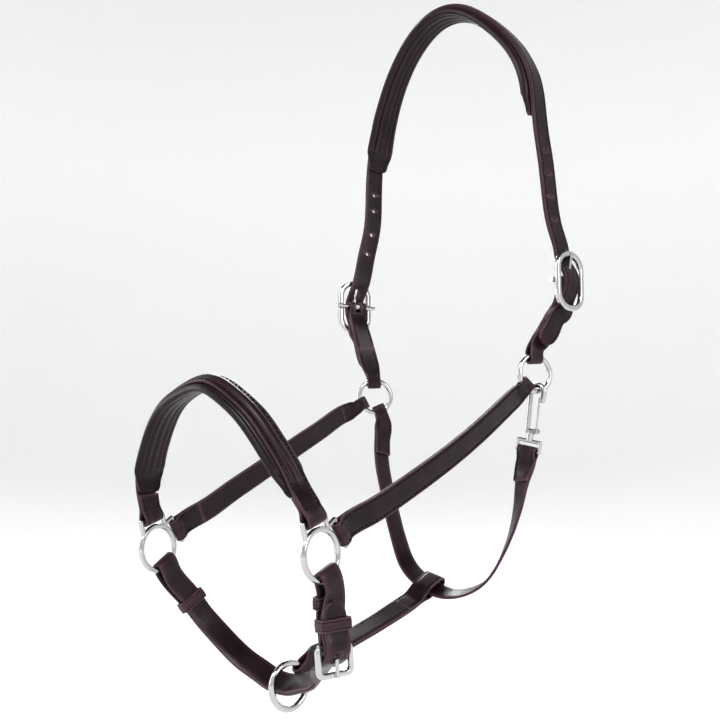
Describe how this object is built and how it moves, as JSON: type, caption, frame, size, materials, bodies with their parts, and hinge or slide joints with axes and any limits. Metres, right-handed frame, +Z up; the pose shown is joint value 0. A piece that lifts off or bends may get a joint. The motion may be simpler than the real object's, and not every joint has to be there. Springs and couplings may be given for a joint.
{
  "type": "headcollar",
  "caption": "Leather headcollar with padded crown and noseband, frame buckles, chin strap, lead ring and a throat strap that clips to the cheek ring with a snap.",
  "frame": {"origin": "underside of the crown pad at the middle, where it rests on the poll", "axes": "+Z up, the horse faces -Y, its near (left) side is +X"},
  "size_m": [0.2266, 0.3267, 0.602],
  "materials": {
    "strap_leather": "semi-gloss",
    "lining_leather": "satin",
    "ridge_leather": "semi-gloss",
    "keeper_leather": "semi-gloss",
    "padding": "satin",
    "polished_steel": "polished",
    "tongue_steel": "polished",
    "snap_steel": "polished"
  },
  "bodies": {
    "headcollar": {"near_buckle_chape": "strap_leather", "far_buckle_chape": "strap_leather", "crown_strap": "strap_leather", "crown_lining": "lining_leather", "crown_pad": "padding", "near_crown_buckle": "polished_steel", "far_crown_buckle": "polished_steel", "near_side_fitting": "polished_steel", "far_side_fitting": "polished_steel", "near_cheek_strap": "strap_leather", "near_cheek_lining": "lining_leather", "far_cheek_strap": "strap_leather", "far_cheek_lining": "lining_leather", "noseband_strap": "strap_leather", "noseband_pad": "padding", "noseband_ridge": "ridge_leather", "chin_strap": "strap_leather", "chin_buckle": "polished_steel", "chin_keeper": "keeper_leather", "near_chin_keeper": "keeper_leather", "far_chin_keeper": "keeper_leather", "throat_strap": "strap_leather", "snap_body": "polished_steel", "snap_pin": "snap_steel", "connecting_strap": "strap_leather", "connecting_lining": "lining_leather"},
    "near_crown_tongue_body": {"near_crown_tongue": "tongue_steel"},
    "far_crown_tongue_body": {"far_crown_tongue": "tongue_steel"},
    "chin_tongue_body": {"chin_tongue": "tongue_steel"},
    "near_ring_body": {"near_upper_ring": "polished_steel"},
    "far_ring_body": {"far_upper_ring": "polished_steel"},
    "lead_ring_body": {"lead_ring": "polished_steel"},
    "snap_gate_body": {"snap_gate": "snap_steel"}
  },
  "joints": [
    {"name": "near_tongue_hinge", "type": "hinge", "parent": "headcollar", "child": "near_crown_tongue_body", "pos_m": [0.10252, 0.02106, -0.26128], "axis": [0.174, 0.9848, 0], "range_deg": [0, 6]},
    {"name": "far_tongue_hinge", "type": "hinge", "parent": "headcollar", "child": "far_crown_tongue_body", "pos_m": [-0.10261, -0.01416, -0.2602], "axis": [-0.375, -0.927, 0], "range_deg": [0, 6]},
    {"name": "chin_tongue_hinge", "type": "hinge", "parent": "headcollar", "child": "chin_tongue_body", "pos_m": [0.0844, -0.2414, -0.5336], "axis": [-0.2579, -0.9619, -0.091], "range_deg": [0, 6]},
    {"name": "near_ring_spin", "type": "hinge", "parent": "headcollar", "child": "near_ring_body", "pos_m": [0.086, -0.0042, -0.34], "axis": [0.9207, -0.3903, 0], "continuous": true},
    {"name": "far_ring_spin", "type": "hinge", "parent": "headcollar", "child": "far_ring_body", "pos_m": [-0.086, -0.0067, -0.3467], "axis": [-0.722, 0.6919, 0], "continuous": true},
    {"name": "lead_ring_swing", "type": "hinge", "parent": "headcollar", "child": "lead_ring_body", "pos_m": [0.00095, -0.18529, -0.56257], "axis": [0.0513, 0.6407, -0.766], "range_deg": [-8, 8]},
    {"name": "snap_gate_hinge", "type": "hinge", "parent": "headcollar", "child": "snap_gate_body", "pos_m": [0.08392, -0.00153, -0.38729], "axis": [0.0452, -0.9988, -0.0207], "range_deg": [0, 8], "stiffness_Nm_per_rad": 0.05, "springref_deg": -20.05}
  ]
}
